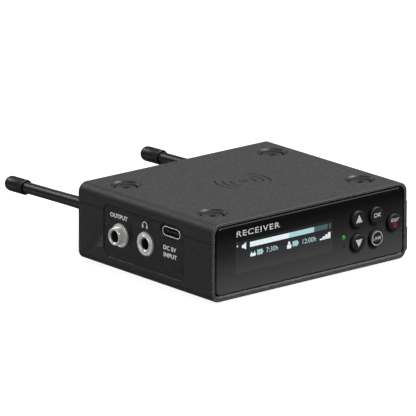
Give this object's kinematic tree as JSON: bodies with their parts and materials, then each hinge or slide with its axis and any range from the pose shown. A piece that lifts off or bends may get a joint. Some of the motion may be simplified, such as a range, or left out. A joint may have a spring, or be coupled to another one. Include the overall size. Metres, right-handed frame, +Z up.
{
  "type": "portable wireless audio receiver",
  "caption": "Compact dark metal wireless audio receiver with a glossy display front, push buttons, side audio and power sockets, a battery door and folding rod antennas at the rear.",
  "frame": {"origin": "centre of the case's flat underside, between the feet", "axes": "+Z up through the top cover, the display front faces -Y, the antennas point to +Y, the sockets are on -X and the battery door is on +X"},
  "size_m": [0.0869, 0.1224, 0.0268],
  "materials": {
    "case_paint": "fine speckled powder coat on a die-cast light alloy",
    "fascia_gloss": "polished",
    "plate_plastic": "satin",
    "soft_rubber": "satin",
    "screw_steel": "blackened",
    "bright_nickel": "polished nickel plate",
    "circuit_board": "solder mask",
    "shield_tin": "tinned sheet",
    "display_glass": "polished",
    "led_green": "tinted lens",
    "sensor_smoke": "smoked lens",
    "inner_plastic": "moulded",
    "cell_wrap": "printed sleeve, with a density near a real cell's",
    "ribbon_film": "polyimide film"
  },
  "bodies": {
    "case": {"top_shell": "case_paint", "bottom_shell": "case_paint", "front_panel": "fascia_gloss", "rear_panel": "plate_plastic", "connector_plate": "plate_plastic", "display_module": "display_glass", "keypad_mat": "soft_rubber", "control_board": "circuit_board", "status_led": "led_green", "sensor_lens": "sensor_smoke", "usb_shell": "bright_nickel", "usb_tongue": "inner_plastic", "main_board": "circuit_board", "rf_shield_front": "shield_tin", "rf_shield_rear": "shield_tin", "display_ribbon": "ribbon_film", "battery_tray": "inner_plastic", "battery_cell_1": "cell_wrap", "battery_cell_2": "cell_wrap", "battery_spring_front": "bright_nickel", "battery_spring_rear": "bright_nickel", "positive_contact": "bright_nickel", "bridge_contact": "bright_nickel", "door_hinge_pin": "screw_steel", "stacking_screw_front_left": "screw_steel", "foot_front_left": "soft_rubber", "stacking_screw_front_right": "screw_steel", "foot_front_right": "soft_rubber", "stacking_screw_rear_left": "screw_steel", "foot_rear_left": "soft_rubber", "stacking_screw_rear_right": "screw_steel", "foot_rear_right": "soft_rubber", "case_screw_1": "screw_steel", "case_screw_2": "screw_steel", "case_screw_3": "screw_steel", "case_screw_4": "screw_steel", "mic_jack_sleeve": "bright_nickel", "mic_jack_nut": "bright_nickel", "mic_jack_body": "inner_plastic", "headphone_jack_sleeve": "bright_nickel", "headphone_jack_nut": "bright_nickel", "headphone_jack_body": "inner_plastic", "antenna_bushing_left": "screw_steel", "antenna_bushing_right": "screw_steel"},
    "battery_door": {"battery_door": "case_paint"},
    "door_latch": {"door_latch": "case_paint"},
    "antenna_swivel_left": {"antenna_knuckle_left": "inner_plastic", "antenna_pin_left": "screw_steel"},
    "antenna_whip_left": {"antenna_rod_left": "soft_rubber", "antenna_cap_left": "soft_rubber"},
    "antenna_swivel_right": {"antenna_knuckle_right": "inner_plastic", "antenna_pin_right": "screw_steel"},
    "antenna_whip_right": {"antenna_rod_right": "soft_rubber", "antenna_cap_right": "soft_rubber"},
    "button_up": {"button_up": "soft_rubber"},
    "button_down": {"button_down": "soft_rubber"},
    "button_set": {"button_set": "soft_rubber"},
    "button_sync": {"button_sync": "soft_rubber"},
    "button_escape": {"button_escape": "soft_rubber"}
  },
  "joints": [
    {"name": "button_up_press", "type": "slide", "parent": "case", "child": "button_up", "axis": [0, 1, 0], "range_m": [0, 0.0006], "stiffness_N_per_m": 800},
    {"name": "button_down_press", "type": "slide", "parent": "case", "child": "button_down", "axis": [0, 1, 0], "range_m": [0, 0.0006], "stiffness_N_per_m": 800},
    {"name": "button_set_press", "type": "slide", "parent": "case", "child": "button_set", "axis": [0, 1, 0], "range_m": [0, 0.0006], "stiffness_N_per_m": 800},
    {"name": "button_sync_press", "type": "slide", "parent": "case", "child": "button_sync", "axis": [0, 1, 0], "range_m": [0, 0.0006], "stiffness_N_per_m": 800},
    {"name": "button_escape_press", "type": "slide", "parent": "case", "child": "button_escape", "axis": [0, 1, 0], "range_m": [0, 0.0006], "stiffness_N_per_m": 800},
    {"name": "battery_door_hinge", "type": "hinge", "parent": "case", "child": "battery_door", "pos_m": [0.0413, 0, 0.0032], "axis": [0, 1, 0], "range_deg": [0, 90]},
    {"name": "door_latch_slide", "type": "slide", "parent": "battery_door", "child": "door_latch", "axis": [0, 1, 0], "range_m": [0, 0.0025]},
    {"name": "antenna_left_swivel", "type": "hinge", "parent": "case", "child": "antenna_swivel_left", "pos_m": [-0.0296, 0.0394, 0.01393], "axis": [0, 1, 0], "range_deg": [-90, 30]},
    {"name": "antenna_left_tilt", "type": "hinge", "parent": "antenna_swivel_left", "child": "antenna_whip_left", "pos_m": [-0.0296, 0.0394, 0.01393], "axis": [1, 0, 0], "range_deg": [0, 91.7]},
    {"name": "antenna_right_swivel", "type": "hinge", "parent": "case", "child": "antenna_swivel_right", "pos_m": [0.0296, 0.0394, 0.01393], "axis": [0, 1, 0], "range_deg": [-30, 90]},
    {"name": "antenna_right_tilt", "type": "hinge", "parent": "antenna_swivel_right", "child": "antenna_whip_right", "pos_m": [0.0296, 0.0394, 0.01393], "axis": [1, 0, 0], "range_deg": [0, 91.7]}
  ]
}
